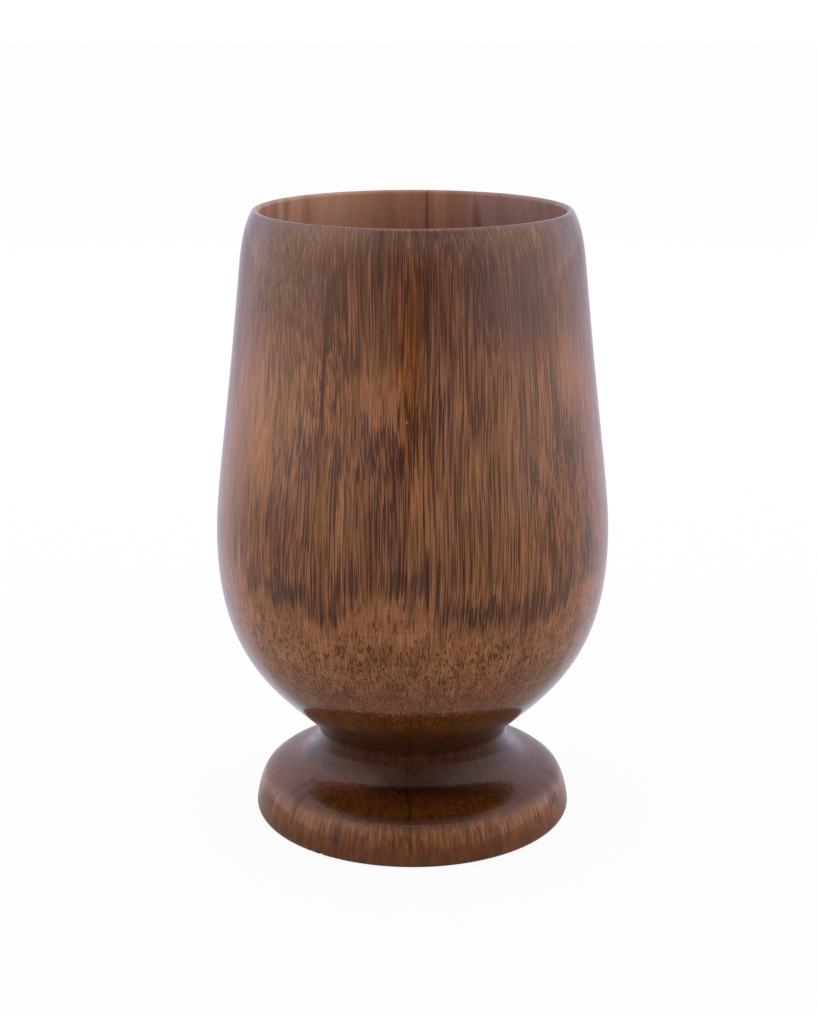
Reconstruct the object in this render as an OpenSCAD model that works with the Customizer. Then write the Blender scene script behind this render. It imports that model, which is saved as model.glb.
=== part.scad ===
// Wooden chalice: a deep rounded bowl on a short neck and a low foot, turned from one block.
// The axis is Z, the table is z = 0, and the front faces -Y. All lengths are in millimetres.
// Slopes and leans are in degrees, and 0 is an upright surface.

/* [Overall] */
// Height from the table to the crest of the lip
cup_height = 130; // [122:1:140]

/* [Foot] */
// Radius of the foot at its widest, just above its bottom edge
foot_r = 33.9; // [33:0.1:37]
// Rounding of the foot's bottom edge
foot_round = 1.6; // [0.8:0.1:2.4]
// Inward lean of the foot's side above that rounding
foot_lean = 7; // [2:1:10]
// Radius of the foot's upper edge, where its side turns over into its top
edge_r = 31; // [29.5:0.1:32]
// Height of that upper edge above the table
edge_z = 9; // [8:0.1:10.2]
// Inward slope of the surface at the upper edge
edge_slope = 50; // [40:1:60]
// Inward slope of the foot's top where it runs into the cove
top_slope = 72; // [66:1:78]
// Radius of the shallow hollow turned into the underside
hollow_r = 27; // [22:0.5:29]
// Depth of that hollow at its middle
hollow_depth = 1; // [0.4:0.1:2]

/* [Neck] */
// Radius of the neck at its narrowest
neck_r = 20.3; // [18:0.1:21.5]
// Height of the narrowest point above the table
neck_z = 18.3; // [17.5:0.1:20]
// Radius of the cove between the foot's top and the neck
cove_r = 7.5; // [6.5:0.1:8]
// Radius of the small cove between the neck and the bowl
waist_r = 3.4; // [2:0.1:5]

/* [Bowl] */
// Outward slope of the bowl's underside where it leaves the neck
under_slope = 45; // [38:1:50]
// Radius of the bowl at its widest
belly_r = 41.2; // [39:0.1:44]
// Height of the widest point above the table
belly_z = 61.6; // [56:0.1:68]
// Radius at which the tapering wall ends and the shoulder begins
shoulder_r = 35.3; // [34:0.1:37.5]
// Drop from the crest of the lip to where the shoulder begins
shoulder_drop = 11.5; // [9:0.1:16]
// Inward lean of the wall where the shoulder begins
shoulder_lean = 5.8; // [3:0.1:9]

/* [Lip] */
// Radius of the crest of the lip
lip_r = 31.9; // [31:0.1:33.5]
// Thickness of the lip, which is fully rounded
lip_t = 1.6; // [1.2:0.1:2.4]
// Inward slope of the shoulder where it meets the lip's rounding
lip_slope = 29; // [20:1:40]

/* [Inside] */
// Thickness of the wall at the bowl's widest point
belly_wall = 4.4; // [3:0.1:6]
// Thickness of the wall where the shoulder begins
shoulder_wall = 3.4; // [2.6:0.1:4]
// Solid wood from the neck's narrowest point up to the bottom of the hollow
floor_t = 9; // [7:0.1:13]

/* [Curves] */
// Run of the foot's side from its bottom rounding, longer is straighter
foot_run = 6.2; // [3:0.1:7]
// Tightness of the turn at the foot's upper edge, shorter is tighter
edge_run = 0.5; // [0.2:0.1:2]
// Run of the foot's top next to its edge and next to the cove
top_run = 2; // [1:0.1:2.6]
// Run of the bowl's underside from the neck, longer is straighter
under_run = 12.5; // [9:0.1:15]
// Run of the outside from its widest point downward, longer is fuller
belly_run_low = 25.4; // [20:0.1:28]
// Run of the outside from its widest point upward, longer is fuller
belly_run_high = 10.3; // [6:0.1:16]
// Run of the tapering wall below the shoulder, longer is straighter
taper_run = 37; // [28:0.5:40]
// Run of the shoulder from the tapering wall
shoulder_run = 5.7; // [3:0.1:6.5]
// Run of the shoulder next to the lip
lip_run = 2.7; // [1.5:0.1:4]
// Run of the inside from its widest point downward, longer is fuller
inside_run = 21; // [17:0.5:24]
// Run of the inside's floor from the axis, longer is flatter
floor_run = 23; // [18:0.5:26]

/* [Wear] */
// Direction of the larger nick in the bottom edge, in degrees from the front towards the left
nick_turn = 35; // [0:1:90]
// Turn from the larger nick to the smaller one, in degrees
nick_gap = 4.2; // [3:0.1:8]
// Width of the larger nick
nick_w = 1.3; // [0.8:0.1:1.8]
// Width of the smaller nick
small_nick_w = 0.9; // [0.5:0.1:1.4]

/* [Hidden] */
wood = [0.50, 0.30, 0.20];
turn_steps = 96;
curve_steps = 14;
long_curve_steps = 20;
round_steps = 7;
nick_length = 4;
nick_slope = 45;

shoulder_z = cup_height - shoulder_drop;
floor_z = neck_z + floor_t;
inside_belly_r = belly_r - belly_wall;
inside_shoulder_r = shoulder_r - shoulder_wall;
lip_round = lip_t / 2;
lip_centre = [lip_r, cup_height - lip_round];
foot_centre = [foot_r - foot_round, foot_round];

// Direction of travel up the outline on a surface that leans inward by the given slope
function travel(slope) = [-sin(slope), cos(slope)];

// Points of a cubic curve from one point to another, which leaves and arrives along the given runs
function curve(from, leave, to, arrive, steps) = [
    for (i = [0 : steps])
        let (t = i / steps, u = 1 - t)
        u * u * u * from + 3 * u * u * t * (from + leave) + 3 * u * t * t * (to - arrive) + t * t * t * to
];

// Points of an arc about a centre between two angles
function arc(centre, r, a0, a1, steps) = [
    for (i = [0 : steps])
        let (a = a0 + (a1 - a0) * i / steps)
        centre + r * [cos(a), sin(a)]
];

function last(points) = points[len(points) - 1];
function rest(points) = [for (i = [1 : len(points) - 1]) points[i]];

// The foot: its rounded bottom edge, its side and its top
bottom_edge = arc(foot_centre, foot_round, -90, foot_lean, round_steps);
upper_edge = [edge_r, edge_z];
foot_side = curve(last(bottom_edge), foot_run * travel(foot_lean),
    upper_edge, edge_run * travel(edge_slope), curve_steps);
cove_centre = [neck_r + cove_r, neck_z];
cove = arc(cove_centre, cove_r, 180 + top_slope, 180, curve_steps);
foot_top = curve(upper_edge, top_run * travel(edge_slope), cove[0], top_run * travel(top_slope), round_steps);

// The outside of the bowl: a small cove, the underside, the tapering wall, the shoulder and the lip
waist = arc([neck_r + waist_r, neck_z], waist_r, 180, 180 - under_slope, round_steps);
belly = [belly_r, belly_z];
underside = curve(last(waist), under_run * travel(-under_slope), belly, [0, belly_run_low], long_curve_steps);
shoulder = [shoulder_r, shoulder_z];
taper = curve(belly, [0, belly_run_high], shoulder, taper_run * travel(shoulder_lean), long_curve_steps);
lip = arc(lip_centre, lip_round, lip_slope, 180, round_steps);
shoulder_turn = curve(shoulder, shoulder_run * travel(shoulder_lean), lip[0], lip_run * travel(lip_slope),
    curve_steps);

// The inside of the bowl, from the lip down to the floor on the axis
inside_shoulder = [inside_shoulder_r, shoulder_z];
inside_belly = [inside_belly_r, belly_z];
inside_neck = curve(last(lip), [0, -lip_run], inside_shoulder, -shoulder_run * travel(shoulder_lean), round_steps);
inside_wall = curve(inside_shoulder, -taper_run * travel(shoulder_lean), inside_belly, [0, -belly_run_high],
    long_curve_steps);
inside_floor = curve(inside_belly, [0, -inside_run], [0, floor_z], [-floor_run, 0], long_curve_steps);

// The underside's hollow, a shallow dish from the axis to the ring that the foot stands on
dish = [for (i = [0 : round_steps]) let (t = i / round_steps) [hollow_r * t, hollow_depth * (1 - t * t)]];

outline = concat(dish, bottom_edge, rest(foot_side), rest(foot_top), rest(cove), rest(waist), rest(underside),
    rest(taper), rest(shoulder_turn), rest(lip), rest(inside_neck), rest(inside_wall), rest(inside_floor));

// A notch with square sides across the rounded bottom edge, at a turn from the front towards the left
module nick(turn, width) {
    reach = foot_round * [cos(nick_slope), -sin(nick_slope)];
    rotate([0, 0, -90 - turn])
        translate([foot_centre[0] + reach[0], 0, foot_centre[1] + reach[1]])
            rotate([0, nick_slope, 0])
                rotate([0, 0, 45])
                    cube([width / sqrt(2), width / sqrt(2), nick_length], center = true);
}

module chalice() {
    color(wood)
        difference() {
            rotate_extrude($fn = turn_steps)
                polygon(outline);
            nick(nick_turn, nick_w);
            nick(nick_turn + nick_gap, small_nick_w);
        }
}

chalice();
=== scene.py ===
"""A turned wooden chalice in clear lacquer, on a pale floor in soft studio light.

Lengths are in millimetres until a mesh is made, and metres after that. The chalice's axis is Z and its
front faces -Y. A turn is an angle about the axis in degrees, 0 at the front and growing towards the right.
"""

import math

import bpy
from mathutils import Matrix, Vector


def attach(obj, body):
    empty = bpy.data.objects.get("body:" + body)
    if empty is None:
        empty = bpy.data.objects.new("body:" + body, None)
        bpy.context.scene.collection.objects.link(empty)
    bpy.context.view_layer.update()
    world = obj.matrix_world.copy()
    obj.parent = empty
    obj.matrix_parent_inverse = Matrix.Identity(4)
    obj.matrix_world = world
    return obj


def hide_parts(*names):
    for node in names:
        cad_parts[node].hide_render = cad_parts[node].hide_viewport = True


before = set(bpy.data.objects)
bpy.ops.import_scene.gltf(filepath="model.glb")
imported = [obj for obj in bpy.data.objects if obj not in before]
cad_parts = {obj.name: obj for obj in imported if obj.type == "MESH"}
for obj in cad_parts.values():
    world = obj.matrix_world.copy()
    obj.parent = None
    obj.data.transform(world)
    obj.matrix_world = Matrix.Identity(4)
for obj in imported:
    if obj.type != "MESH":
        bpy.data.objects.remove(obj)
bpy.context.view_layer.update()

MM = 0.001

# The outline's driving sizes, the same as in the part's source
CUP_HEIGHT = 130.0
FOOT_R = 33.9
FOOT_ROUND = 1.6
FOOT_LEAN = 7.0
EDGE_R = 31.0
EDGE_Z = 9.0
EDGE_SLOPE = 50.0
TOP_SLOPE = 72.0
HOLLOW_R = 27.0
HOLLOW_DEPTH = 1.0
NECK_R = 20.3
NECK_Z = 18.3
COVE_R = 7.5
WAIST_R = 3.4
UNDER_SLOPE = 45.0
BELLY_R = 41.2
BELLY_Z = 61.6
SHOULDER_R = 35.3
SHOULDER_DROP = 11.5
SHOULDER_LEAN = 5.8
LIP_R = 31.9
LIP_T = 1.6
LIP_SLOPE = 29.0
BELLY_WALL = 4.4
SHOULDER_WALL = 3.4
FLOOR_T = 9.0
FOOT_RUN = 6.2
EDGE_RUN = 0.5
TOP_RUN = 2.0
UNDER_RUN = 12.5
BELLY_RUN_LOW = 25.4
BELLY_RUN_HIGH = 10.3
TAPER_RUN = 37.0
SHOULDER_RUN = 5.7
LIP_RUN = 2.7
INSIDE_RUN = 21.0
FLOOR_RUN = 23.0

# Steps along each curve of the outline, and how many of the lip's steps belong to the inside
HOLLOW_STEPS = 8
FOOT_ROUND_STEPS = 14
FOOT_SIDE_STEPS = 24
FOOT_TOP_STEPS = 12
COVE_STEPS = 20
WAIST_STEPS = 12
UNDERSIDE_STEPS = 42
TAPER_STEPS = 30
SHOULDER_STEPS = 20
LIP_STEPS = 16
LIP_STEPS_INSIDE = 9
INSIDE_NECK_STEPS = 8
INSIDE_WALL_STEPS = 24
INSIDE_FLOOR_STEPS = 30

# The two nicks in the foot's bottom edge: turn and width, and the slope and half length of both
NICKS = ((-35.0, 1.3), (-39.2, 0.9))
NICK_SLOPE = 45.0
NICK_REACH = 2.0

# Only points below this height and outside this radius can lie in a nick
NICK_TOP = 4.0
NICK_INNER = 28.0

# The mesh's upright rows all round, and the turns between which finer rows cross the nicks
ROWS = 300
FINE_FROM = 318.0
FINE_TO = 328.0
FINE_ROWS = 51
FINE_STEP = 0.2
FINE_GAP = 0.1

# The material slots of the mesh, and the height at which the neck's wood gives way to the bowl's
BOWL_SLOT = 0
INSIDE_SLOT = 1
NECK_SLOT = 2
FOOT_SLOT = 3
BOWL_START = NECK_Z + 2.0

# The camera of the photograph
CAMERA_PLACE = (-0.00086, -0.39655, 0.17903)
CAMERA_DIP = 15.7356
CAMERA_LENS = 69.437
CAMERA_SENSOR = 36.0
CAMERA_NEAR = 0.01


def make_camera():
    data = bpy.data.cameras.new("camera")
    data.lens = CAMERA_LENS
    data.sensor_width = CAMERA_SENSOR
    data.clip_start = CAMERA_NEAR
    camera = bpy.data.objects.new("camera", data)
    camera.location = CAMERA_PLACE
    camera.rotation_euler = (math.radians(90.0 - CAMERA_DIP), 0.0, 0.0)
    bpy.context.collection.objects.link(camera)
    bpy.context.scene.camera = camera


def travel(slope, run=1.0):
    """A step of length run up the outline, on a surface that leans inward by slope."""
    a = math.radians(slope)
    return (-run * math.sin(a), run * math.cos(a))


def curve(start, leave, end, arrive, steps):
    """Points of a cubic curve that leaves and arrives along the given steps, without its first point."""
    b = (start[0] + leave[0], start[1] + leave[1])
    c = (end[0] - arrive[0], end[1] - arrive[1])
    points = []
    for i in range(1, steps + 1):
        t = i / steps
        u = 1.0 - t
        weights = (u * u * u, 3.0 * u * u * t, 3.0 * u * t * t, t * t * t)
        points.append(tuple(sum(w * p[k] for w, p in zip(weights, (start, b, c, end))) for k in (0, 1)))
    return points


def arc(centre, radius, first, last, steps):
    """Points of an arc between two angles, without its first point."""
    points = []
    for i in range(1, steps + 1):
        a = math.radians(first + (last - first) * i / steps)
        points.append((centre[0] + radius * math.cos(a), centre[1] + radius * math.sin(a)))
    return points


def base_outline():
    """The outline from the axis below to the neck's narrowest point, as (radius, height)."""
    points = [(0.0, HOLLOW_DEPTH)]
    for i in range(1, HOLLOW_STEPS + 1):
        t = i / HOLLOW_STEPS
        points.append((HOLLOW_R * t, HOLLOW_DEPTH * (1.0 - t * t)))
    points.append((FOOT_R - FOOT_ROUND, 0.0))
    points += arc((FOOT_R - FOOT_ROUND, FOOT_ROUND), FOOT_ROUND, -90.0, FOOT_LEAN, FOOT_ROUND_STEPS)
    edge = (EDGE_R, EDGE_Z)
    points += curve(points[-1], travel(FOOT_LEAN, FOOT_RUN), edge, travel(EDGE_SLOPE, EDGE_RUN),
                    FOOT_SIDE_STEPS)
    cove_centre = (NECK_R + COVE_R, NECK_Z)
    cove_start = arc(cove_centre, COVE_R, 0.0, 180.0 + TOP_SLOPE, 1)[0]
    points += curve(edge, travel(EDGE_SLOPE, TOP_RUN), cove_start, travel(TOP_SLOPE, TOP_RUN),
                    FOOT_TOP_STEPS)
    points += arc(cove_centre, COVE_R, 180.0 + TOP_SLOPE, 180.0, COVE_STEPS)
    return points


def outside_outline():
    """The bowl's outside from the neck's narrowest point to the inner side of the lip."""
    shoulder = (SHOULDER_R, CUP_HEIGHT - SHOULDER_DROP)
    belly = (BELLY_R, BELLY_Z)
    lip_centre = (LIP_R, CUP_HEIGHT - LIP_T / 2.0)
    lip_start = arc(lip_centre, LIP_T / 2.0, 0.0, LIP_SLOPE, 1)[0]
    points = arc((NECK_R + WAIST_R, NECK_Z), WAIST_R, 180.0, 180.0 - UNDER_SLOPE, WAIST_STEPS)
    points += curve(points[-1], travel(-UNDER_SLOPE, UNDER_RUN), belly, (0.0, BELLY_RUN_LOW),
                    UNDERSIDE_STEPS)
    points += curve(belly, (0.0, BELLY_RUN_HIGH), shoulder, travel(SHOULDER_LEAN, TAPER_RUN), TAPER_STEPS)
    points += curve(shoulder, travel(SHOULDER_LEAN, SHOULDER_RUN), lip_start, travel(LIP_SLOPE, LIP_RUN),
                    SHOULDER_STEPS)
    return points + arc(lip_centre, LIP_T / 2.0, LIP_SLOPE, 180.0, LIP_STEPS)


def inside_outline(lip_end):
    """The inside from the lip's inner side down to the floor on the axis."""
    shoulder = (SHOULDER_R - SHOULDER_WALL, CUP_HEIGHT - SHOULDER_DROP)
    belly = (BELLY_R - BELLY_WALL, BELLY_Z)
    floor = (0.0, NECK_Z + FLOOR_T)
    points = curve(lip_end, (0.0, -LIP_RUN), shoulder, travel(SHOULDER_LEAN, -SHOULDER_RUN),
                   INSIDE_NECK_STEPS)
    points += curve(shoulder, travel(SHOULDER_LEAN, -TAPER_RUN), belly, (0.0, -BELLY_RUN_HIGH),
                    INSIDE_WALL_STEPS)
    points += curve(belly, (0.0, -INSIDE_RUN), floor, (-FLOOR_RUN, 0.0), INSIDE_FLOOR_STEPS)
    points[-1] = floor
    return points


def outline():
    """The closed outline from the axis below to the axis inside, and the step where the inside starts."""
    points = base_outline() + outside_outline()
    inside_from = len(points) - LIP_STEPS_INSIDE
    return points + inside_outline(points[-1]), inside_from


def turns():
    """The turns at which the mesh has its upright rows, finer round the nicks."""
    rows = [360.0 * i / ROWS for i in range(ROWS)]
    rows = [t for t in rows if not FINE_FROM - FINE_GAP < t < FINE_TO + FINE_GAP]
    rows += [FINE_FROM + FINE_STEP * i for i in range(FINE_ROWS)]
    return sorted(rows)


def nicked(r, z, turn):
    """The radius and height of a point of the outside after the nicks are cut."""
    slope = math.radians(NICK_SLOPE)
    normal = (math.cos(slope), -math.sin(slope))
    for nick_turn, width in NICKS:
        aside = abs(math.radians((turn - nick_turn + 180.0) % 360.0 - 180.0)) * FOOT_R
        if aside >= width / 2.0:
            continue
        dr = r - (FOOT_R - FOOT_ROUND) - FOOT_ROUND * normal[0]
        dz = z - FOOT_ROUND - FOOT_ROUND * normal[1]
        depth = dr * normal[0] + dz * normal[1]
        along = dz * normal[0] - dr * normal[1]
        bottom = -(width / 2.0 - aside)
        if abs(along) < NICK_REACH and depth > bottom:
            r += (bottom - depth) * normal[0]
            z += (bottom - depth) * normal[1]
    return r, z


def turned_points(points, rows):
    """The mesh's points: the axis below, a ring for each point of the outline, and the axis inside."""
    verts = [(0.0, 0.0, points[0][1] * MM)]
    for r, z in points[1:-1]:
        near_nicks = z < NICK_TOP and r > NICK_INNER
        for turn in rows:
            rn, zn = nicked(r, z, turn) if near_nicks else (r, z)
            a = math.radians(turn)
            verts.append((rn * math.sin(a) * MM, -rn * math.cos(a) * MM, zn * MM))
    verts.append((0.0, 0.0, points[-1][1] * MM))
    return verts


def ring_slot(step, middle, inside_from):
    """The material slot of one ring of faces, by its step along the outline and its middle height."""
    if step >= inside_from:
        return INSIDE_SLOT
    if middle < EDGE_Z:
        return FOOT_SLOT
    if middle < BOWL_START:
        return NECK_SLOT
    return BOWL_SLOT


def turned_faces(points, count, inside_from):
    """The mesh's faces and their material slots, for rings of count points each."""
    faces = [(0, 1 + (j + 1) % count, 1 + j) for j in range(count)]
    slots = [FOOT_SLOT] * count
    for i in range(len(points) - 3):
        low = 1 + i * count
        high = low + count
        slot = ring_slot(i + 1, (points[i + 1][1] + points[i + 2][1]) / 2.0, inside_from)
        for j in range(count):
            k = (j + 1) % count
            faces.append((low + j, low + k, high + k, high + j))
            slots.append(slot)
    top = 1 + (len(points) - 3) * count
    faces += [(top + j, top + (j + 1) % count, top + count) for j in range(count)]
    slots += [INSIDE_SLOT] * count
    return faces, slots


def make_chalice(materials):
    """The whole chalice as one closed turned mesh with the nicks cut into its foot."""
    points, inside_from = outline()
    rows = turns()
    faces, slots = turned_faces(points, len(rows), inside_from)
    mesh = bpy.data.meshes.new("chalice_wood")
    mesh.from_pydata(turned_points(points, rows), [], faces)
    mesh.validate()
    for material in materials:
        mesh.materials.append(material)
    mesh.polygons.foreach_set("material_index", slots)
    mesh.polygons.foreach_set("use_smooth", [True] * len(mesh.polygons))
    mesh.update()
    piece = bpy.data.objects.new("chalice_wood", mesh)
    bpy.context.collection.objects.link(piece)
    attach(piece, "root")
    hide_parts("chalice")


class Net:
    """Short ways to add nodes to one node tree. All but node and put return output sockets."""

    def __init__(self, tree):
        self.tree = tree

    def node(self, kind, **settings):
        made = self.tree.nodes.new(kind)
        for key, value in settings.items():
            setattr(made, key, value)
        return made

    def put(self, target, value):
        if isinstance(value, bpy.types.NodeSocket):
            self.tree.links.new(value, target)
        else:
            target.default_value = value

    def math(self, operation, *values, clamp=False):
        made = self.node("ShaderNodeMath", operation=operation, use_clamp=clamp)
        for target, value in zip(made.inputs, values):
            self.put(target, value)
        return made.outputs[0]

    def add(self, a, b):
        return self.math("ADD", a, b)

    def sub(self, a, b):
        return self.math("SUBTRACT", a, b)

    def mul(self, a, b, clamp=False):
        return self.math("MULTIPLY", a, b, clamp=clamp)

    def vector(self, operation, a, b):
        made = self.node("ShaderNodeVectorMath", operation=operation)
        self.put(made.inputs[0], a)
        self.put(made.inputs[1], b)
        return made.outputs[0]

    def join(self, *parts):
        made = self.node("ShaderNodeCombineXYZ")
        for target, value in zip(made.inputs, parts):
            self.put(target, value)
        return made.outputs[0]

    def split(self, a):
        made = self.node("ShaderNodeSeparateXYZ")
        self.put(made.inputs[0], a)
        return tuple(made.outputs)

    def grain(self, place, size, detail=1.0, colour=False):
        """Noise at a place in the wood, with features of the given size across and along the fibres."""
        across, along = size
        made = self.node("ShaderNodeTexNoise", noise_dimensions="3D")
        self.put(made.inputs["Vector"], self.vector("DIVIDE", place, (across, across, along)))
        made.inputs["Scale"].default_value = 1.0
        made.inputs["Detail"].default_value = detail
        return made.outputs["Color" if colour else "Fac"]

    def ramp(self, value, low, high, to_low=0.0, to_high=1.0, smooth=True):
        made = self.node("ShaderNodeMapRange", interpolation_type="SMOOTHSTEP" if smooth else "LINEAR")
        for target, number in zip(made.inputs, (value, low, high, to_low, to_high)):
            self.put(target, number)
        return made.outputs[0]

    def curve(self, value, low, high, points):
        """A smooth curve through points, over values from low to high."""
        made = self.node("ShaderNodeFloatCurve")
        line = made.mapping.curves[0]
        tops = [p[1] for p in points]
        bottom = min(tops)
        span = max(tops) - bottom
        while len(line.points) < len(points):
            line.points.new(0.5, 0.5)
        for made_point, (at, height) in zip(line.points, points):
            made_point.location = ((at - low) / (high - low), (height - bottom) / span)
        made.mapping.update()
        self.put(made.inputs["Value"], self.ramp(value, low, high, smooth=False))
        return self.add(self.mul(made.outputs[0], span), bottom)

    def round_curve(self, turn, points):
        """A smooth curve through points right round the axis."""
        return self.curve(turn, -180.0, 180.0, points)

    def mix(self, factor, a, b):
        """One colour or the other, by a factor."""
        made = self.node("ShaderNodeMix", data_type="RGBA")
        self.put(made.inputs[0], factor)
        self.put(made.inputs[6], a if isinstance(a, bpy.types.NodeSocket) else (*a, 1.0))
        self.put(made.inputs[7], b if isinstance(b, bpy.types.NodeSocket) else (*b, 1.0))
        return made.outputs[2]

    def blend(self, factor, a, b):
        """One number or the other, by a factor."""
        made = self.node("ShaderNodeMix", data_type="FLOAT")
        self.put(made.inputs[0], factor)
        self.put(made.inputs[2], a)
        self.put(made.inputs[3], b)
        return made.outputs[0]

    def tint(self, colour, amount):
        """A colour multiplied by one number."""
        made = self.node("ShaderNodeVectorMath", operation="SCALE")
        self.put(made.inputs[0], colour)
        self.put(made.inputs["Scale"], amount)
        return made.outputs[0]

    def vary(self, colour, grain, darkest, lightest, span=(0.3, 0.7)):
        """A colour made darker and lighter by a grain, over the span that most of the noise lies in."""
        return self.tint(colour, self.ramp(grain, *span, darkest, lightest))


def compass(net, output):
    """The turn and the parts of a direction or a place."""
    coordinates = net.node("ShaderNodeTexCoord")
    x, y, z = net.split(coordinates.outputs[output])
    return net.mul(net.math("ARCTAN2", x, net.mul(y, -1.0)), 180.0 / math.pi), x, y, z


def radius_of(net, x, y):
    """The distance of a place from the axis."""
    return net.math("SQRT", net.add(net.mul(x, x), net.mul(y, y)))


# Colours of the wood, linear; some hold painted shade, as marked below
GROUND = (0.200, 0.079, 0.036)
GROUND_TOP = (0.122, 0.046, 0.023)
GROUND_RIM = (0.078, 0.032, 0.024)
GROUND_LOW = (0.220, 0.088, 0.041)
UNDERSIDE = (0.165, 0.061, 0.026)
# The next colour is painted shade: the dark band low on the bowl's underside, above the neck
UNDERSIDE_SHADE = (0.088, 0.027, 0.003)
STREAK = (0.044, 0.016, 0.010)
DASH = (0.060, 0.021, 0.010)
THREAD = (0.260, 0.115, 0.060)
STAIN = (0.040, 0.018, 0.016)
SMOKE = (0.046, 0.024, 0.038)
AMBER = (0.176, 0.053, 0.012)
OLIVE = (0.150, 0.068, 0.012)
FOOT_SIDE = (0.165, 0.058, 0.024)
FOOT_BOTTOM = tuple(0.62 * c for c in FOOT_SIDE)
# The next two are the foot top's dark end grain with painted shade from the bowl, darkest at the front
FOOT_TOP_FRONT_SHADE = (0.064, 0.018, 0.003)
FOOT_TOP_SIDE_SHADE = (0.112, 0.040, 0.016)
# The next two are painted shade in the cove below the neck, darkest at the front
COVE_FRONT_SHADE = (0.013, 0.003, 0.002)
COVE_SIDE_SHADE = (0.085, 0.026, 0.009)
# The next colour is the neck's wood darkened with painted shade; the dark smudges below the figure take it
# too
NECK_SHADE_AND_SMUDGE = (0.038, 0.013, 0.005)
INSIDE_LEFT = (0.430, 0.222, 0.152)
INSIDE_MIDDLE = (0.345, 0.155, 0.098)
INSIDE_RIGHT = (0.265, 0.150, 0.130)
INSIDE_STREAK = (0.180, 0.078, 0.055)
PALE = (0.330, 0.190, 0.110)
WHITE = (1.0, 1.0, 1.0)

# What the lacquer of each part mirrors: its index of refraction and its tint, a little warmer than white
BOWL_IOR = 1.7
BOWL_MIRRORED = (1.0, 0.66, 0.5)
INSIDE_IOR = 1.45
NECK_IOR = 1.42
NECK_MIRRORED = (1.0, 0.69, 0.61)
FOOT_IOR = 1.52
FOOT_MIRRORED = (1.0, 0.66, 0.54)

# The bump of each part as a strength, and the depth in metres that a strength of one stands for
BOWL_BUMP = 0.05
INSIDE_BUMP = 0.1
BASE_BUMP = 0.08
BUMP_DEPTH = 0.0002

# Sizes of the wood's grain, across and along the fibres
WANDER_GRAIN = (7.0, 26.0)
DRIFT_GRAIN = (30.0, 70.0)
FINGER_GRAIN = (0.34, 9.0)
BROAD_GRAIN = (1.8, 24.0)
LINE_GRAIN = (0.18, 18.0)
WIDE_GRAIN = (0.38, 26.0)
THREAD_GRAIN = (0.17, 15.0)
FINE_GRAIN = (0.13, 7.0)
SLOW_GRAIN = (3.0, 26.0)
DASH_GRAIN = (0.31, 2.4)
CLUSTER_GRAIN = (2.4, 26.0)
MOTTLE_GRAIN = (0.5, 1.3)
BLOTCH_GRAIN = (2.2, 3.6)
RING_GRAIN = (16.0, 0.5)
INSIDE_LINE_GRAIN = (0.35, 20.0)
INSIDE_BAND_GRAIN = (2.6, 40.0)
INSIDE_FINE_GRAIN = (0.14, 4.0)
BASE_LINE_GRAIN = (0.2, 14.0)
BASE_DOT_GRAIN = (0.6, 0.9)
BASE_BLOTCH_GRAIN = (1.4, 6.0)
BASE_FINE_GRAIN = (0.16, 1.4)

# How far the fibres wander and drift sideways, and the shift that sets the pale threads apart from the lines
WANDER = 0.9
DRIFT = 5.0
THREAD_SHIFT = (37.0, 11.0, 5.0)

# Beyond this distance from the axis the streaks' place keeps only a share of the way outward
CORE_R = 28.0
SMALLEST_R = 0.01
BOWL_KEEP = 0.1
INSIDE_KEEP = 0.2
BASE_KEEP = 0.15

# Heights over which one colour gives way to the next; those of the underside's dark band, the neck and the
# cove lead into painted shade
TOP_SPAN = (96.0, 116.0)
RIM_SPAN = (118.0, 128.0)
UNDERSIDE_SPAN = (46.0, 35.0)
UNDERSIDE_SHADE_SPAN = (35.0, 32.0)
MOTTLED_SPAN = (36.0, 33.0)
BOWL_NECK_SHADE_SPAN = (30.0, 23.0)
DASHES_THICKEN_SPAN = (57.0, 45.0)
DASHES_FADE_SPAN = (30.0, 34.0)
FOOT_BOTTOM_SPAN = (2.5, 6.0)
COVE_SHADE_SPAN = (9.8, 13.0)
COVE_SIDE_SHADE_SPAN = (14.5, 11.5)
NECK_SHADE_SPAN = (13.5, 17.0)
SPECKLED_SPAN = (16.0, 18.0)

# The lower edge of the dark figure: turn and height, right round the bowl
FIGURE_EDGE = (
    (-180.0, 54.0), (-140.0, 57.0), (-100.0, 53.0), (-75.0, 60.0), (-62.0, 60.0), (-50.0, 56.5),
    (-29.0, 53.8), (-17.0, 56.5), (-13.0, 59.0), (1.0, 58.3), (5.0, 54.8), (25.0, 52.3), (37.0, 52.0),
    (46.0, 55.5), (63.0, 58.0), (90.0, 54.0), (125.0, 57.5), (150.0, 53.5), (180.0, 54.0),
)

# How far fine and broad fibres feather that edge, how sharp it is, and how far they sway the patches' turns
FINGER_FEATHER = 7.0
BROAD_FEATHER = 8.0
EDGE_SPAN = (-1.5, 2.5)
PATCH_SWAY = 5.0

# A soft patch is full up to this share of its half size, and ends at this one
PATCH_FULL = 0.35
PATCH_END = 1.3

# Light patches of the figure, where streaks are few: turn, height, half width as a turn, half height and
# amount
FLAMES = (
    (-55.0, 92.0, 15.0, 15.0, 1.0), (-70.0, 77.0, 9.0, 22.0, 0.9), (-10.0, 101.0, 10.0, 7.0, 0.9),
    (1.0, 103.0, 3.5, 9.0, 0.8), (57.0, 102.0, 8.0, 9.0, 0.85), (69.0, 88.0, 7.0, 30.0, 0.9),
    (-19.0, 71.0, 6.0, 8.0, 0.3), (25.0, 72.0, 5.0, 8.0, 0.3), (28.0, 89.0, 4.0, 8.0, 0.35),
    (-2.0, 114.0, 5.0, 9.0, 0.4),
)

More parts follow.
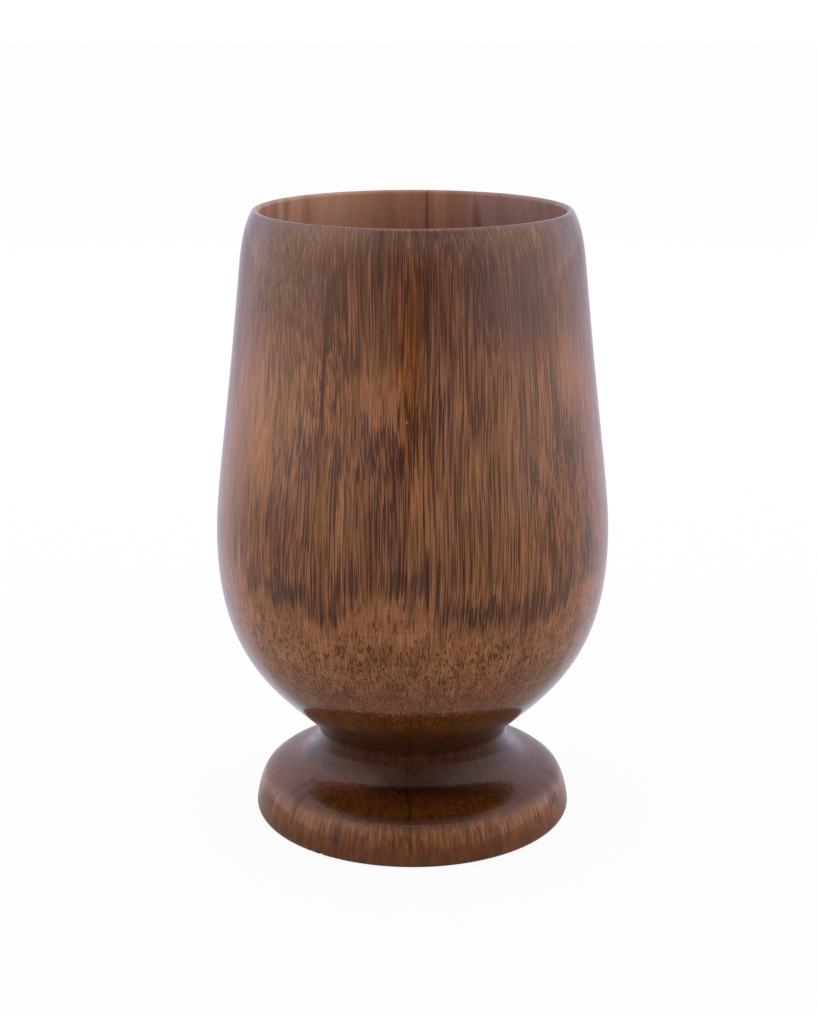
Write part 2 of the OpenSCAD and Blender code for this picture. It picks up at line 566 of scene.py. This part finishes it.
# Dark soft stains of the figure, written in the same way
STAINS = (
    (-42.0, 59.0, 9.0, 4.0, 0.9), (-31.0, 58.0, 4.0, 3.5, 0.8), (-22.0, 55.5, 6.0, 3.0, 0.6),
    (-44.0, 74.0, 8.0, 6.0, 0.5), (-33.0, 88.0, 6.0, 6.0, 0.55), (-39.0, 84.0, 1.6, 6.0, 0.6),
    (-22.0, 88.0, 6.0, 5.0, 0.4), (-5.0, 62.5, 8.0, 4.5, 0.85), (3.0, 64.0, 4.0, 6.0, 0.65),
    (15.0, 57.0, 11.0, 4.0, 0.7), (36.0, 56.0, 16.0, 4.5, 0.6), (52.0, 57.5, 9.0, 4.5, 0.6),
    (60.0, 64.0, 4.0, 9.0, 0.8), (-8.0, 86.5, 8.0, 8.0, 0.5), (-9.0, 74.0, 5.0, 7.0, 0.5),
    (7.0, 99.0, 4.0, 10.0, 0.55), (20.0, 102.0, 5.0, 12.0, 0.35), (12.0, 78.0, 1.5, 8.0, 0.5),
    (46.0, 89.0, 6.0, 8.0, 0.45), (54.0, 86.0, 5.0, 7.0, 0.55), (36.0, 80.0, 3.0, 6.0, 0.35),
    (-18.0, 108.0, 2.0, 5.0, 0.6), (34.0, 119.0, 20.0, 11.0, 0.6), (-47.0, 117.0, 18.0, 9.0, 0.35),
    (-33.0, 78.0, 5.0, 6.0, 0.3), (110.0, 70.0, 18.0, 16.0, 0.5), (-14.0, 95.0, 4.0, 5.0, 0.5),
    (-17.0, 63.0, 5.0, 5.0, 0.55), (-5.0, 72.0, 4.0, 6.0, 0.45), (24.0, 80.0, 4.0, 6.0, 0.4),
    (-120.0, 95.0, 16.0, 18.0, 0.5), (165.0, 85.0, 14.0, 20.0, 0.45), (-150.0, 62.0, 16.0, 8.0, 0.6),
)

# Streaks of amber and of olive in the figure, and one painted reflection, written in the same way
# The first amber one, down the front middle, is a painted reflection of the dark gap in front, in deep amber
AMBERS_AND_GAP_REFLECTION = ((-1.2, 106.0, 3.8, 22.0, 0.75), (-9.0, 76.0, 4.0, 8.0, 0.3), (140.0, 80.0, 6.0, 25.0, 0.5))
OLIVES = ((-26.4, 77.0, 1.5, 7.5, 0.75), (-27.0, 29.0, 3.0, 4.0, 0.3))

# Dark smudges below the figure, written in the same way
SMUDGES = (
    (-29.0, 27.0, 4.0, 7.0, 0.5), (3.0, 26.0, 2.0, 7.0, 0.35), (16.0, 25.0, 2.5, 6.0, 0.3),
    (-9.0, 27.0, 2.0, 6.0, 0.3), (28.5, 49.0, 2.6, 1.6, 0.3), (-14.0, 44.0, 1.8, 3.0, 0.2),
    (47.0, 46.0, 4.0, 2.0, 0.2), (8.0, 51.0, 2.0, 2.0, 0.2),
)

# Smoky patches below the lip on either side, written in the same way
SMOKES = ((34.0, 116.0, 20.0, 13.0, 0.38), (-30.0, 118.0, 8.0, 8.0, 0.25))

# Dark lines on the far wall inside the bowl, written in the same way
INSIDE_LINES = ((174.2, 124.0, 0.8, 14.0, 0.9), (153.6, 120.0, 2.4, 9.0, 0.9))

# Dark spots and streaks of the foot and the neck above it, and a painted reflection, written in the same way
FOOT_SPOTS_AND_CAMERA_REFLECTION = (
    (-28.7, 5.6, 3.4, 2.2, 0.6), (-18.2, 5.2, 2.2, 1.3, 0.5), (-56.0, 10.4, 2.2, 1.7, 0.6),
    (-49.5, 8.4, 2.0, 2.4, 0.7), (77.0, 9.0, 4.0, 1.3, 0.6), (66.0, 7.4, 3.2, 1.8, 0.7),
    # The last is a painted reflection of the dark camera in the cove at the front
    (1.3, 15.2, 2.4, 0.6, 0.8),
)

# Pale marks in the lacquer, written in the same way: a speck, and a scratch below the lip in two pieces
PALE_MARKS = ((-1.8, 94.4, 0.3, 0.25, 1.0), (44.0, 128.6, 0.5, 1.6, 0.45), (43.0, 126.6, 0.45, 1.4, 0.4))

# Long dark lines in the bowl's figure, written in the same way
DARK_LINES = (
    (-27.3, 103.0, 0.85, 17.0, 1.0), (4.6, 104.0, 0.6, 20.0, 0.6), (-5.0, 112.0, 0.5, 12.0, 0.4),
    (-27.6, 83.0, 0.45, 4.5, 0.8), (21.0, 66.0, 0.4, 9.0, 0.6), (11.5, 80.0, 0.45, 10.0, 0.6),
    (41.0, 72.0, 0.4, 9.0, 0.6), (-44.0, 96.0, 0.4, 8.0, 0.5), (33.0, 97.0, 0.4, 9.0, 0.5),
)

# The dark line down the front of the neck and foot: place sideways, half width, and the heights of its ends
CRACK_X = -0.4
CRACK_HALF = 0.16
CRACK_FOOT_SPAN = (2.0, 5.0)
CRACK_BOWL_SPAN = (30.0, 34.0)


def sway(net, place, size, reach):
    """A sideways shift that changes slowly through the wood, by up to half the reach either way."""
    drawn = net.grain(place, size, 0.0, colour=True)
    return net.vector("MULTIPLY", net.vector("SUBTRACT", drawn, (0.5, 0.5, 0.5)), (reach, reach, 0.0))


def wood_place(net, keep):
    """The turn and height, the place in the wood, and the place that the fibres' streaks follow.

    Both places are in millimetres and have the fibres' slow wander. Outside the core the streaks' place keeps
    only a share of the way outward, so that the leaning wall cuts them long.
    """
    turn, x, y, z = compass(net, "Object")
    x = net.mul(x, 1.0 / MM)
    y = net.mul(y, 1.0 / MM)
    height = net.mul(z, 1.0 / MM)
    radius = radius_of(net, x, y)
    beyond = net.math("MAXIMUM", net.sub(radius, CORE_R), 0.0)
    kept = net.add(net.math("MINIMUM", radius, CORE_R), net.mul(beyond, keep))
    squeeze = net.math("DIVIDE", kept, net.math("MAXIMUM", radius, SMALLEST_R))
    place = net.join(x, y, height)
    streaks = net.join(net.mul(x, squeeze), net.mul(y, squeeze), height)
    wander = sway(net, streaks, WANDER_GRAIN, WANDER)
    shift = net.vector("ADD", wander, sway(net, streaks, DRIFT_GRAIN, DRIFT))
    return turn, height, net.vector("ADD", place, shift), net.vector("ADD", streaks, shift)


def patches(net, turn, height, listed):
    """The sum of soft patches, each with its amount at its middle and 0 at its edge."""
    here = net.join(turn, height)
    total = 0.0
    for centre_turn, centre_height, half_turn, half_height, amount in listed:
        away = net.vector("SUBTRACT", here, (centre_turn, centre_height, 0.0))
        away = net.vector("DIVIDE", away, (half_turn, half_height, 1.0))
        length = net.node("ShaderNodeVectorMath", operation="LENGTH")
        net.put(length.inputs[0], away)
        total = net.add(total, net.ramp(length.outputs["Value"], PATCH_FULL, PATCH_END, amount, 0.0))
    return total


def figure(net, turn, height, streaks):
    """Where streaks crowd, where the wood is stained dark, and where the figure is.

    The figure lies above a feathered lower edge.
    """
    finger = net.sub(net.grain(streaks, FINGER_GRAIN), 0.5)
    broad = net.sub(net.grain(streaks, BROAD_GRAIN), 0.5)
    feather = net.add(net.mul(finger, FINGER_FEATHER), net.mul(broad, BROAD_FEATHER))
    feathered = net.add(height, feather)
    heart = net.ramp(net.sub(feathered, net.round_curve(turn, FIGURE_EDGE)), *EDGE_SPAN)
    near = net.add(turn, net.mul(broad, PATCH_SWAY))
    flames = patches(net, near, feathered, FLAMES)
    stains = patches(net, near, feathered, STAINS)
    stains = net.add(stains, net.add(net.mul(broad, 0.8), net.mul(finger, 0.8)))
    stains = net.mul(net.sub(stains, net.mul(flames, 0.5)), heart, clamp=True)
    crowd = net.add(net.sub(0.5, net.mul(flames, 0.5)), net.mul(stains, 0.12))
    return crowd, stains, heart


def new_material(name):
    material = bpy.data.materials.new(name)
    material.use_nodes = True
    material.node_tree.nodes.clear()
    return material, Net(material.node_tree)


def lacquer(net, colour, ior, roughness, relief, strength, mirrored=BOWL_MIRRORED):
    """The wood's surface under its clear lacquer."""
    shader = net.node("ShaderNodeBsdfPrincipled")
    net.put(shader.inputs["Base Color"], colour)
    shader.inputs["IOR"].default_value = ior
    shader.inputs["Specular Tint"].default_value = (*mirrored, 1.0)
    net.put(shader.inputs["Roughness"], roughness)
    bump = net.node("ShaderNodeBump")
    bump.inputs["Strength"].default_value = strength
    bump.inputs["Distance"].default_value = BUMP_DEPTH
    net.put(bump.inputs["Height"], relief)
    net.put(shader.inputs["Normal"], bump.outputs[0])
    output = net.node("ShaderNodeOutputMaterial")
    net.put(output.inputs["Surface"], shader.outputs[0])


def figure_ground(net, height, crowd):
    """The golden wood of the figure, darker towards the lip and lighter where streaks are few."""
    colour = net.mix(net.ramp(height, *TOP_SPAN), GROUND, GROUND_TOP)
    colour = net.mix(net.ramp(height, *RIM_SPAN), colour, GROUND_RIM)
    return net.tint(colour, net.ramp(crowd, 0.0, 0.5, 1.12, 1.0))


def low_ground(net, turn, height, place, blotch):
    """The wood below the figure, mottled towards the neck and darkened there with painted shade."""
    colour = net.mix(net.ramp(height, *UNDERSIDE_SPAN), GROUND_LOW, UNDERSIDE)
    # Painted shade: a dark band low on the underside, above the neck
    colour = net.mix(net.ramp(height, *UNDERSIDE_SHADE_SPAN), colour, UNDERSIDE_SHADE)
    # Painted shade darkens the bowl towards the neck; the smudges in the same dark colour are real marks
    colour = net.mix(net.ramp(height, *BOWL_NECK_SHADE_SPAN), colour, NECK_SHADE_AND_SMUDGE)
    colour = net.mix(patches(net, turn, height, SMUDGES), colour, NECK_SHADE_AND_SMUDGE)
    mottle = net.ramp(net.grain(place, MOTTLE_GRAIN, 2.0), 0.3, 0.7, 0.55, 1.45)
    colour = net.tint(colour, net.blend(net.ramp(height, *MOTTLED_SPAN), 1.0, mottle))
    colour = net.vary(colour, net.grain(place, RING_GRAIN), 0.92, 1.08)
    return net.vary(colour, blotch, 0.84, 1.1)


def bowl_ground(net, turn, height, place, streaks, blotch, crowd, heart):
    """The bowl's wood before any streak or dash."""
    low = low_ground(net, turn, height, place, blotch)
    colour = net.mix(heart, low, figure_ground(net, height, crowd))
    # Amber streaks, and down the front middle the painted reflection of the dark gap in front
    colour = net.mix(patches(net, turn, height, AMBERS_AND_GAP_REFLECTION), colour, AMBER)
    colour = net.vary(colour, net.grain(streaks, FINE_GRAIN), 0.62, 1.38, (0.25, 0.75))
    slow = net.ramp(net.grain(streaks, SLOW_GRAIN), 0.3, 0.7, 0.8, 1.1)
    return net.tint(colour, net.blend(heart, 1.0, slow))


def bowl_lines(net, line, wide, cluster, crowd, heart):
    """The amount of the figure's dark streaks, thin and thick."""
    start = net.sub(net.sub(0.735, net.mul(cluster, 0.22)), net.mul(crowd, 0.2))
    strength = net.add(0.5, net.mul(crowd, 0.8))
    thin = net.mul(net.ramp(net.sub(line, start), -0.015, 0.035), strength, clamp=True)
    thick = net.mul(net.ramp(net.sub(wide, start), 0.04, 0.1), 0.62)
    return net.mul(net.math("MAXIMUM", thin, thick), heart)


def bowl_dashes(net, height, place, blotch, heart):
    """The amount of the short dark dashes below the figure."""
    dash = net.sub(net.grain(place, DASH_GRAIN), net.ramp(height, *DASHES_THICKEN_SPAN, 0.08, 0.0))
    dash = net.add(dash, net.mul(net.sub(0.5, blotch), 0.22))
    dashes = net.mul(net.ramp(dash, 0.53, 0.61), net.ramp(heart, 0.0, 1.0, 0.9, 0.0))
    return net.mul(dashes, net.ramp(height, *DASHES_FADE_SPAN, 0.55, 1.0))


def bowl_wood():
    """The bowl's outside: golden wood under dark streaks and soft stains, with short dashes lower down."""
    material, net = new_material("lacquered_bowl")
    turn, height, place, streaks = wood_place(net, BOWL_KEEP)
    crowd, stains, heart = figure(net, turn, height, streaks)
    line = net.grain(streaks, LINE_GRAIN)
    wide = net.grain(streaks, WIDE_GRAIN)
    cluster = net.grain(streaks, CLUSTER_GRAIN)
    blotch = net.grain(place, BLOTCH_GRAIN, 2.0)
    colour = bowl_ground(net, turn, height, place, streaks, blotch, crowd, heart)
    colour = net.mix(bowl_lines(net, line, wide, cluster, crowd, heart), colour, STREAK)
    colour = net.mix(bowl_dashes(net, height, place, blotch, heart), colour, DASH)
    colour = net.mix(patches(net, turn, height, OLIVES), colour, OLIVE)
    fibres = net.add(net.mul(net.sub(line, 0.5), 1.3), net.mul(net.sub(wide, 0.5), 0.9))
    colour = net.mix(net.ramp(net.add(stains, fibres), 0.05, 0.9, 0.0, 0.84), colour, STAIN)
    thread = net.grain(net.vector("ADD", streaks, THREAD_SHIFT), THREAD_GRAIN)
    colour = net.mix(net.mul(net.ramp(thread, 0.56, 0.66, 0.0, 0.55), heart), colour, THREAD)
    swayed = net.add(turn, net.mul(net.sub(cluster, 0.5), 0.8))
    colour = net.mix(patches(net, swayed, height, DARK_LINES), colour, STREAK)
    colour = net.mix(patches(net, turn, height, SMOKES), colour, SMOKE)
    colour = net.tint(colour, crack(net, place, height))
    colour = net.mix(patches(net, turn, height, PALE_MARKS), colour, PALE)
    rough = net.ramp(line, 0.4, 0.7, 0.07, 0.1)
    relief = net.ramp(line, 0.5, 0.62, 1.0, 0.0)
    lacquer(net, colour, BOWL_IOR, rough, relief, BOWL_BUMP)
    return material


def crack(net, place, height):
    """The dark line down the front of the neck and foot, as a factor for the colour."""
    x, y, z = net.split(place)
    side = net.math("ABSOLUTE", net.sub(x, CRACK_X))
    line = net.ramp(side, CRACK_HALF, CRACK_HALF * 3.0, 1.0, 0.0)
    line = net.mul(line, net.math("LESS_THAN", y, 0.0))
    ends = net.mul(net.ramp(height, *CRACK_FOOT_SPAN), net.ramp(height, *CRACK_BOWL_SPAN, 1.0, 0.0))
    line = net.mul(line, ends)
    return net.sub(1.0, net.mul(line, net.ramp(height, 12.0, 16.0, 0.42, 0.25)))


def inside_wood():
    """The inside: paler, barely sealed wood with soft streaks, and painted shade lower down."""
    material, net = new_material("sealed_inside")
    turn, height, place, streaks = wood_place(net, INSIDE_KEEP)
    line = net.grain(streaks, INSIDE_LINE_GRAIN)
    band = net.grain(streaks, INSIDE_BAND_GRAIN)
    sideways = net.add(net.split(place)[0], net.mul(net.sub(band, 0.5), 16.0))
    colour = net.mix(net.ramp(sideways, -16.0, -3.0), INSIDE_LEFT, INSIDE_MIDDLE)
    colour = net.mix(net.ramp(sideways, 4.0, 17.0), colour, INSIDE_RIGHT)
    colour = net.mix(net.ramp(line, 0.46, 0.7, 0.0, 0.15), colour, INSIDE_STREAK)
    colour = net.mix(patches(net, turn, height, INSIDE_LINES), colour, INSIDE_STREAK)
    colour = net.vary(colour, band, 0.84, 1.12)
    colour = net.tint(colour, net.ramp(net.math("ABSOLUTE", sideways), 20.0, 32.0, 1.0, 0.8))
    colour = net.vary(colour, net.grain(streaks, INSIDE_FINE_GRAIN), 0.9, 1.1, (0.2, 0.8))
    # Painted shade: the inside darkens lower down, below the lip
    colour = net.tint(colour, net.ramp(height, 110.0, 126.0, 0.84, 1.0))
    colour = net.tint(colour, net.ramp(height, 128.6, 129.6, 1.0, 0.9))
    rough = net.ramp(line, 0.4, 0.7, 0.34, 0.42)
    lacquer(net, colour, INSIDE_IOR, rough, net.sub(1.0, line), INSIDE_BUMP)
    return material


def foot_colour(net, turn, height, across, aside):
    """The foot's side and its darker top of end grain with painted shade, each different towards the right.
    """
    # Painted shade: the top darkens from its sides to its front and to the right; the side is lighter to the
    # right
    right = net.ramp(turn, 25.0, 50.0)
    top = net.tint(net.mix(aside, FOOT_TOP_FRONT_SHADE, FOOT_TOP_SIDE_SHADE), net.blend(right, 1.0, 0.75))
    side = net.mix(net.ramp(height, *FOOT_BOTTOM_SPAN), FOOT_BOTTOM, FOOT_SIDE)
    side = net.tint(side, net.blend(right, 1.0, 1.3))
    return net.mix(across, side, top)


def neck_colour(net, turn, height, foot, dots):
    """The foot's colour up to the cove's painted shade, and the neck's speckled wood above it, darkened with
    painted shade.
    """
    # Painted shade: the cove is darkest at its front and lighter at its sides, and the neck above it is dark
    sides = net.ramp(net.math("ABSOLUTE", net.sub(turn, 11.0)), 16.0, 60.0)
    sides = net.mul(sides, net.ramp(height, *COVE_SIDE_SHADE_SPAN))
    colour = net.mix(net.ramp(height, *COVE_SHADE_SPAN), foot, net.mix(sides, COVE_FRONT_SHADE, COVE_SIDE_SHADE))
    colour = net.mix(net.ramp(height, *NECK_SHADE_SPAN), colour, NECK_SHADE_AND_SMUDGE)
    speckled = net.ramp(dots, 0.3, 0.7, 0.7, 1.3)
    return net.tint(colour, net.blend(net.ramp(height, *SPECKLED_SPAN), 1.0, speckled))


def foot_edge_shade(net, turn, height, dots):
    """Painted shade along the foot's upper edge at the front, as a dark line."""
    ragged = net.add(height, net.mul(net.sub(dots, 0.5), 3.0))
    edge = net.ramp(net.math("ABSOLUTE", net.sub(ragged, EDGE_Z + 0.1)), 0.1, 0.9, 0.55, 0.0)
    return net.mul(edge, net.ramp(net.math("ABSOLUTE", turn), 20.0, 38.0, 1.0, 0.0))


def base_grain(net, height, place, streaks, colour, line, dots, across, aside):
    """The neck's and foot's colour with its blotches, dots and dark lines."""
    colour = net.vary(colour, net.grain(streaks, BASE_BLOTCH_GRAIN), 0.82, 1.18)
    colour = net.vary(colour, net.grain(place, BASE_FINE_GRAIN), 0.78, 1.22, (0.2, 0.8))
    darkest = net.blend(aside, 0.6, 0.8)
    lightest = net.blend(aside, 1.4, 1.2)
    dotted = net.ramp(dots, 0.32, 0.68, darkest, lightest)
    colour = net.tint(colour, net.blend(across, 1.0, dotted))
    lines = net.mul(net.ramp(line, 0.46, 0.6), net.ramp(across, 0.0, 1.0, 0.85, 0.3))
    ends = net.mul(net.ramp(height, 11.0, 14.0, 1.0, 0.1), net.ramp(height, 3.0, 6.0, 0.3, 1.0))
    return net.mix(net.mul(lines, ends), colour, net.tint(colour, 0.3))


def base_wood(name, ior, mirrored):
    """The neck and foot: dark end grain and painted shade where the surface faces up, and streaks down the
    foot's side.
    """
    material, net = new_material(name)
    turn, height, place, streaks = wood_place(net, BASE_KEEP)
    geometry = net.node("ShaderNodeNewGeometry")
    facing = net.math("ABSOLUTE", net.split(geometry.outputs["Normal"])[2])
    grain = net.grain(streaks, BASE_LINE_GRAIN)
    dots = net.grain(place, BASE_DOT_GRAIN, 2.0)
    frayed = net.add(net.mul(net.sub(grain, 0.5), 0.5), net.mul(net.sub(dots, 0.5), 0.2))
    across = net.ramp(net.add(facing, frayed), 0.38, 0.8)
    line = net.blend(across, grain, dots)
    # How far a point turns to the side, away from the front that painted shade darkens most
    aside = net.ramp(net.math("ABSOLUTE", turn), 38.0, 66.0)
    colour = foot_colour(net, turn, height, across, aside)
    colour = neck_colour(net, turn, height, colour, dots)
    # Darkens the foot's spots and streaks, and paints the camera's reflection into the cove's front
    colour = net.tint(colour, net.sub(1.0, net.mul(patches(net, turn, height, FOOT_SPOTS_AND_CAMERA_REFLECTION), 0.8)))
    colour = base_grain(net, height, place, streaks, colour, line, dots, across, aside)
    # Painted shade along the foot's upper edge at the front, under rougher lacquer
    edge = foot_edge_shade(net, turn, height, dots)
    colour = net.tint(colour, net.sub(1.0, edge))
    colour = net.tint(colour, crack(net, place, height))
    rough = net.add(net.ramp(line, 0.4, 0.7, 0.09, 0.14), net.mul(edge, 0.5))
    relief = net.sub(net.mul(dots, 0.8), net.ramp(line, 0.46, 0.6))
    lacquer(net, colour, ior, rough, relief, BASE_BUMP, mirrored)
    return material


# The studio's brightness by turn: level with the object, and from about 35 degrees up
STUDIO_LEVEL = (
    (-180.0, 0.85), (-160.0, 0.85), (-145.0, 0.85), (-125.0, 1.35), (-104.0, 1.38), (-82.0, 1.3),
    (-66.0, 1.1), (-52.0, 0.66), (-38.0, 0.52), (-25.0, 0.4), (-12.0, 0.17), (-6.0, 0.0), (4.0, 0.0),
    (12.0, 0.22), (25.0, 0.38), (38.0, 0.5), (52.0, 0.7), (66.0, 1.1), (82.0, 1.2), (104.0, 1.28),
    (125.0, 1.25), (145.0, 0.85), (160.0, 0.85), (180.0, 0.85),
)
STUDIO_UPPER = (
    (-180.0, 0.8), (-145.0, 1.1), (-125.0, 1.5), (-100.0, 1.75), (-80.0, 2.0), (-65.0, 1.9), (-45.0, 1.5),
    (-25.0, 0.75), (0.0, 0.6), (25.0, 0.75), (50.0, 1.25), (70.0, 1.6), (100.0, 1.7), (125.0, 1.4),
    (145.0, 1.05), (180.0, 0.8),
)

# The studio's brightness overhead, and the upward parts of a direction over which each gives way to the next
STUDIO_OVERHEAD = 1.3
LEVEL_TO_UPPER = (0.05, 0.6)
UPPER_TO_OVERHEAD = (0.8, 0.95)

# The colour of the studio and the table behind the object, as the lacquer mirrors them, and where it starts
BEHIND = (0.98, 0.98, 1.2)
BEHIND_SPAN = (85.0, 130.0)

# The table's brightness by turn, as the lacquer mirrors it
TABLE = (
    (-180.0, 0.7), (-158.0, 0.7), (-142.0, 0.75), (-122.0, 0.82), (-104.0, 0.56), (-88.0, 0.44),
    (-72.0, 0.38), (-58.0, 0.3), (-45.0, 0.25), (-28.0, 0.13), (28.0, 0.13), (45.0, 0.22), (58.0, 0.28),
    (72.0, 0.38), (88.0, 0.44), (104.0, 0.54), (122.0, 0.75), (142.0, 0.75), (158.0, 0.7), (180.0, 0.7),
)

# The floor's half size, and distances from the axis: the bright ring next to the foot, and the table's end
FLOOR_HALF = 4.0
FOOT_RING = (0.03, 0.1)
TABLE_END = (0.4, 1.2)

# The floor's own paper, the studio's share beyond the table, and how far the camera sees white, not shadow
PAPER = (0.6, 0.6, 0.6, 1.0)
BEYOND_SHARE = 0.8
WHITE_SHARE = 0.93

# The fill lamps: turn, rise above level, and power, and the place that all of them face
FILL_LAMPS = ((-60.0, 10.0, 2.5), (60.0, 10.0, 2.5), (180.0, 35.0, 3.0))
LAMP_WIDTH = 0.9
LAMP_HEIGHT = 0.6
LAMP_DISTANCE = 0.9
LAMP_AIM = (0.0, 0.0, 0.07)


def behind(net, turn):
    """White in front of the object, and the cooler studio colour behind it."""
    return net.mix(net.ramp(net.math("ABSOLUTE", turn), *BEHIND_SPAN), WHITE, BEHIND)


def mirrored_floor(net, turn, x, y):
    """The floor's brightness in the lacquer: a table, with the studio beyond it."""
    reach = radius_of(net, x, y)
    table = net.math("MAXIMUM", net.round_curve(turn, TABLE), net.ramp(reach, *FOOT_RING, 0.3, 0.0))
    beyond = net.mul(net.round_curve(turn, STUDIO_LEVEL), BEYOND_SHARE)
    return net.blend(net.ramp(reach, *TABLE_END), table, beyond)


def floor_material():
    """White with a soft shadow to the camera, its own brightness to the lacquer, and paper to the light."""
    material, net = new_material("floor")
    material.cycles.emission_sampling = "NONE"
    turn, x, y, z = compass(net, "Object")
    paths = net.node("ShaderNodeLightPath")
    camera = paths.outputs["Is Camera Ray"]
    bounced = net.math("MAXIMUM", paths.outputs["Is Glossy Ray"], paths.outputs["Is Transmission Ray"])
    paper = net.node("ShaderNodeBsdfDiffuse")
    paper.inputs["Color"].default_value = PAPER
    white = net.node("ShaderNodeEmission")
    net.put(white.inputs["Strength"], net.blend(camera, mirrored_floor(net, turn, x, y), 1.0))
    net.put(white.inputs["Color"], net.mix(camera, behind(net, turn), WHITE))
    both = net.node("ShaderNodeMixShader")
    net.put(both.inputs[0], net.math("MAXIMUM", net.mul(camera, WHITE_SHARE), bounced))
    net.put(both.inputs[1], paper.outputs[0])
    net.put(both.inputs[2], white.outputs[0])
    output = net.node("ShaderNodeOutputMaterial")
    net.put(output.inputs["Surface"], both.outputs[0])
    return material


def make_floor():
    """A pale floor that keeps the chalice's shadow."""
    side = FLOOR_HALF
    corners = [(-side, -side, 0.0), (side, -side, 0.0), (side, side, 0.0), (-side, side, 0.0)]
    data = bpy.data.meshes.new("floor")
    data.from_pydata(corners, [], [(0, 1, 2, 3)])
    floor = bpy.data.objects.new("floor", data)
    bpy.context.collection.objects.link(floor)
    data.materials.append(floor_material())


def make_world():
    """White to the camera, and soft studio light with a dark gap at the front to everything else."""
    world = bpy.data.worlds.new("studio")
    world.use_nodes = True
    world.node_tree.nodes.clear()
    bpy.context.scene.world = world
    net = Net(world.node_tree)
    turn, x, y, z = compass(net, "Generated")
    level = net.round_curve(turn, STUDIO_LEVEL)
    upper = net.round_curve(turn, STUDIO_UPPER)
    studio = net.blend(net.ramp(z, *LEVEL_TO_UPPER), level, upper)
    studio = net.blend(net.ramp(z, *UPPER_TO_OVERHEAD), studio, STUDIO_OVERHEAD)
    paths = net.node("ShaderNodeLightPath")
    camera = paths.outputs["Is Camera Ray"]
    background = net.node("ShaderNodeBackground")
    net.put(background.inputs["Strength"], net.blend(camera, studio, 1.0))
    net.put(background.inputs["Color"], net.mix(camera, behind(net, turn), WHITE))
    output = net.node("ShaderNodeOutputWorld")
    net.put(output.inputs["Surface"], background.outputs[0])


def make_lamps():
    """Soft lamps at both sides of the front and behind, for the wood below the lacquer.

    The lacquer doesn't mirror them, because it mirrors the studio itself.
    """
    for turn, rise, power in FILL_LAMPS:
        data = bpy.data.lights.new("fill", "AREA")
        data.shape = "RECTANGLE"
        data.size = LAMP_WIDTH
        data.size_y = LAMP_HEIGHT
        data.energy = power
        lamp = bpy.data.objects.new("fill", data)
        a, e = math.radians(turn), math.radians(rise)
        reach = Vector((math.sin(a) * math.cos(e), -math.cos(a) * math.cos(e), math.sin(e)))
        lamp.location = Vector(LAMP_AIM) + reach * LAMP_DISTANCE
        lamp.rotation_euler = reach.to_track_quat("Z", "Y").to_euler()
        lamp.visible_glossy = False
        lamp.visible_camera = False
        bpy.context.collection.objects.link(lamp)


make_camera()
make_world()
make_lamps()
make_floor()
make_chalice((
    bowl_wood(),
    inside_wood(),
    base_wood("lacquered_neck", NECK_IOR, NECK_MIRRORED),
    base_wood("lacquered_foot", FOOT_IOR, FOOT_MIRRORED),
))
bpy.context.scene.view_settings.view_transform = "Standard"
